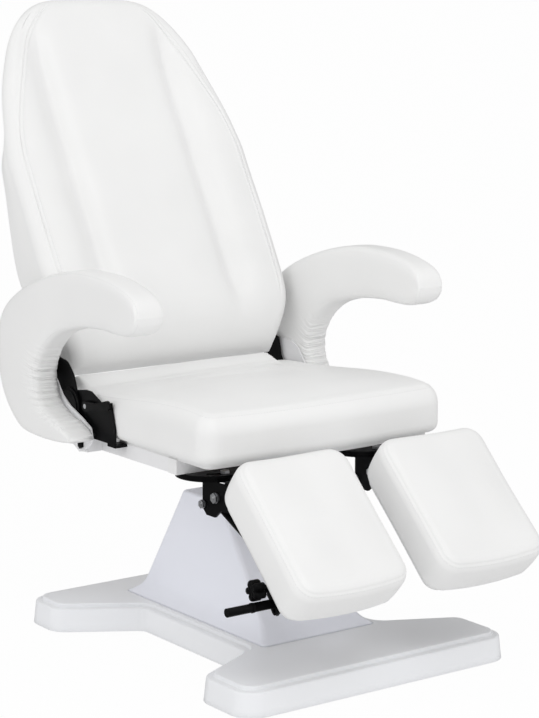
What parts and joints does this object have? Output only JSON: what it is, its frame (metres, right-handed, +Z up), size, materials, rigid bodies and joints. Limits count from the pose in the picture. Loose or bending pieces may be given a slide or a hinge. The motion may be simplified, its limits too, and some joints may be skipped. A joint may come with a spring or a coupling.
{
  "type": "podiatry chair",
  "caption": "Upholstered treatment chair on a lift column: reclining back with folding armrests, and two separate leg rests that swing, tilt and extend",
  "frame": {"origin": "On the floor, on the axis of the lift column", "axes": "+Z up, -Y the way the chair faces, +X the right-hand side of the picture seen from the front"},
  "size_m": [0.766, 1.2497, 1.3155],
  "materials": {
    "white_vinyl": "smooth white imitation leather over foam, with a soft sheen",
    "white_shell": "moulded white plastic with a low gloss",
    "shroud_shell": "moulded plastic, a cooler white than the base",
    "white_paint": "white powder coat",
    "black_paint": "black powder coat",
    "black_plastic": "moulded black plastic",
    "white_plastic": "moulded white plastic",
    "rubber": "black rubber",
    "zinc": "zinc-plated steel",
    "chrome": "hard-chromed steel",
    "dark_steel": "grey paint over cast and welded steel",
    "plywood": "bare birch plywood"
  },
  "bodies": {
    "base": {"base_frame": "dark_steel", "base_cover": "white_shell", "base_glides": "rubber", "column_shroud": "shroud_shell", "shroud_collar": "black_plastic", "pump_body": "dark_steel", "pump_bolts": "zinc", "pedal_pin": "zinc"},
    "pedal": {"pedal_lever": "black_paint", "pedal_pad": "rubber"},
    "ram": {"ram": "chrome"},
    "seat": {"seat_hub": "white_paint", "seat_rails": "white_paint", "seat_cross_tubes": "white_paint", "tube_plugs": "white_plastic", "seat_board": "plywood", "seat_cushion": "white_vinyl", "hub_bolts": "zinc", "swing_disc_left": "black_paint", "swing_disc_right": "black_paint", "swing_bolts_left": "zinc", "swing_bolts_right": "zinc", "recliner_base_left": "black_paint", "recliner_base_right": "black_paint", "recliner_cover_left": "black_plastic", "recliner_cover_right": "black_plastic", "recliner_pins": "zinc", "armrest_pins": "black_paint"},
    "recliner_lever": {"recliner_handle": "black_plastic"},
    "back": {"recliner_arm_left": "black_paint", "recliner_arm_right": "black_paint", "back_frame": "black_paint", "back_panel": "white_plastic", "back_cushion": "white_vinyl"},
    "armrest_left": {"armrest_plate_left": "white_paint", "armrest_pad_left": "white_vinyl"},
    "swing_left": {"swing_bracket_left": "black_paint", "tilt_pins_left": "zinc"},
    "leg_left": {"leg_arm_left": "black_paint"},
    "strut_left": {"strut_cylinder_left": "black_paint"},
    "rod_left": {"strut_rod_left": "chrome"},
    "pad_left": {"leg_slide_left": "zinc", "leg_board_left": "plywood", "leg_pad_left": "white_vinyl"},
    "knob_left": {"star_knob_left": "black_plastic"},
    "lever_left": {"release_lever_left": "black_paint", "lever_grip_left": "black_plastic"},
    "armrest_right": {"armrest_plate_right": "white_paint", "armrest_pad_right": "white_vinyl"},
    "swing_right": {"swing_bracket_right": "black_paint", "tilt_pins_right": "zinc"},
    "leg_right": {"leg_arm_right": "black_paint"},
    "strut_right": {"strut_cylinder_right": "black_paint"},
    "rod_right": {"strut_rod_right": "chrome"},
    "pad_right": {"leg_slide_right": "zinc", "leg_board_right": "plywood", "leg_pad_right": "white_vinyl"},
    "knob_right": {"star_knob_right": "black_plastic"},
    "lever_right": {"release_lever_right": "black_paint", "lever_grip_right": "black_plastic"}
  },
  "joints": [
    {"name": "lift", "type": "slide", "parent": "base", "child": "ram", "axis": [0, 0, 1], "range_m": [0, 0.15]},
    {"name": "swivel", "type": "hinge", "parent": "ram", "child": "seat", "pos_m": [0, 0, 0.38], "axis": [0, 0, 1], "continuous": true},
    {"name": "pedal_press", "type": "hinge", "parent": "base", "child": "pedal", "pos_m": [0.092, 0, 0.096], "axis": [0, 1, 0], "range_deg": [0, 12], "stiffness_Nm_per_rad": 30, "springref_deg": -14.32},
    {"name": "back_recline", "type": "hinge", "parent": "seat", "child": "back", "pos_m": [0, 0.175, 0.497], "axis": [-1, 0, 0], "range_deg": [-5, 55]},
    {"name": "recliner_release", "type": "hinge", "parent": "seat", "child": "recliner_lever", "pos_m": [-0.309, 0.111, 0.505], "axis": [-1, 0, 0], "range_deg": [0, 20], "stiffness_Nm_per_rad": 0.3},
    {"name": "armrest_fold_left", "type": "hinge", "parent": "seat", "child": "armrest_left", "pos_m": [-0.3135, 0.118, 0.425], "axis": [-1, 0, 0], "range_deg": [0, 80]},
    {"name": "leg_swing_left", "type": "hinge", "parent": "seat", "child": "swing_left", "pos_m": [-0.191, -0.165, 0.4], "axis": [0, 0, -1], "range_deg": [0, 35]},
    {"name": "leg_tilt_left", "type": "hinge", "parent": "swing_left", "child": "leg_left", "pos_m": [-0.191, -0.234, 0.368], "axis": [-1, 0, 0], "range_deg": [-20, 22]},
    {"name": "strut_swing_left", "type": "hinge", "parent": "swing_left", "child": "strut_left", "pos_m": [-0.191, -0.188, 0.347], "axis": [-1, 0, 0], "range_deg": [-22, 22]},
    {"name": "strut_slide_left", "type": "slide", "parent": "strut_left", "child": "rod_left", "axis": [0, -0.905, -0.4254], "range_m": [-0.02, 0.02]},
    {"name": "leg_extend_left", "type": "slide", "parent": "leg_left", "child": "pad_left", "axis": [0, -0.7193, -0.6947], "range_m": [0, 0.1]},
    {"name": "knob_turn_left", "type": "hinge", "parent": "leg_left", "child": "knob_left", "pos_m": [-0.275, -0.46807, 0.24762], "axis": [1, 0, 0], "continuous": true},
    {"name": "lever_squeeze_left", "type": "hinge", "parent": "leg_left", "child": "lever_left", "pos_m": [-0.265, -0.48503, 0.2076], "axis": [-1, 0, 0], "range_deg": [0, 15], "stiffness_Nm_per_rad": 1},
    {"name": "armrest_fold_right", "type": "hinge", "parent": "seat", "child": "armrest_right", "pos_m": [0.3135, 0.118, 0.425], "axis": [-1, 0, 0], "range_deg": [0, 80]},
    {"name": "leg_swing_right", "type": "hinge", "parent": "seat", "child": "swing_right", "pos_m": [0.191, -0.165, 0.4], "axis": [0, 0, 1], "range_deg": [0, 35]},
    {"name": "leg_tilt_right", "type": "hinge", "parent": "swing_right", "child": "leg_right", "pos_m": [0.191, -0.234, 0.368], "axis": [-1, 0, 0], "range_deg": [-20, 22]},
    {"name": "strut_swing_right", "type": "hinge", "parent": "swing_right", "child": "strut_right", "pos_m": [0.191, -0.188, 0.347], "axis": [-1, 0, 0], "range_deg": [-22, 22]},
    {"name": "strut_slide_right", "type": "slide", "parent": "strut_right", "child": "rod_right", "axis": [0, -0.905, -0.4254], "range_m": [-0.02, 0.02]},
    {"name": "leg_extend_right", "type": "slide", "parent": "leg_right", "child": "pad_right", "axis": [0, -0.7193, -0.6947], "range_m": [0, 0.1]},
    {"name": "knob_turn_right", "type": "hinge", "parent": "leg_right", "child": "knob_right", "pos_m": [0.275, -0.46807, 0.24762], "axis": [1, 0, 0], "continuous": true},
    {"name": "lever_squeeze_right", "type": "hinge", "parent": "leg_right", "child": "lever_right", "pos_m": [0.265, -0.48503, 0.2076], "axis": [-1, 0, 0], "range_deg": [0, 15], "stiffness_Nm_per_rad": 1}
  ],
  "couplings": [
    {"joint": "strut_swing_left", "follows": "leg_tilt_left", "ratio": 0.8754},
    {"joint": "strut_slide_left", "follows": "leg_tilt_left", "m_per_rad": 0.03768},
    {"joint": "strut_swing_right", "follows": "leg_tilt_right", "ratio": 0.8754},
    {"joint": "strut_slide_right", "follows": "leg_tilt_right", "m_per_rad": 0.03768}
  ]
}
